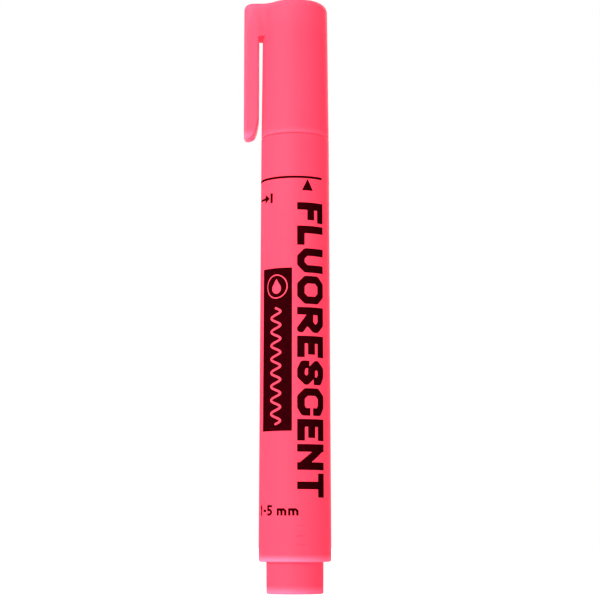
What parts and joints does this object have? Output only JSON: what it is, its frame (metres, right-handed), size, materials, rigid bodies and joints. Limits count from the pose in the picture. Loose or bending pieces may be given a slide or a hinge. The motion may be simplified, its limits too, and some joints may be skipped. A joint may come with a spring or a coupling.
{
  "type": "highlighter pen",
  "caption": "Round chisel-tip highlighter with a tapered barrel, push-on cap with side clip, inner cap seal, fibre nib, ink reservoir and pressed-in tail plug.",
  "frame": {"origin": "centre of the tail plug's flat end, which the pen stands on", "axes": "+Z along the pen's axis towards the closed end of the cap; the pocket clip points to -X; -Y is the printed side"},
  "size_m": [0.0196, 0.016, 0.1326],
  "materials": {
    "fluorescent_plastic": "satin",
    "natural_plastic": "satin",
    "nib_felt": "matte",
    "reservoir_fibre": "matte",
    "clear_film": "gloss",
    "print_ink": "satin"
  },
  "bodies": {
    "barrel": {"barrel": "fluorescent_plastic", "rear_plug": "fluorescent_plastic", "ink_reservoir": "reservoir_fibre", "reservoir_film": "clear_film", "nib": "nib_felt"},
    "cap_seal": {"cap_seal": "natural_plastic"},
    "cap": {"cap": "fluorescent_plastic"},
    "clip": {"clip": "fluorescent_plastic"}
  },
  "joints": [
    {"name": "cap_pull", "type": "slide", "parent": "barrel", "child": "cap_seal", "axis": [0, 0, 1], "range_m": [0, 0.05]},
    {"name": "cap_turn", "type": "hinge", "parent": "cap_seal", "child": "cap", "pos_m": [0, 0, 0.117], "axis": [0, 0, 1], "continuous": true},
    {"name": "clip_flex", "type": "hinge", "parent": "cap", "child": "clip", "pos_m": [-0.0099, 0, 0.1256], "axis": [0, 1, 0], "range_deg": [0, 6], "stiffness_Nm_per_rad": 1}
  ]
}
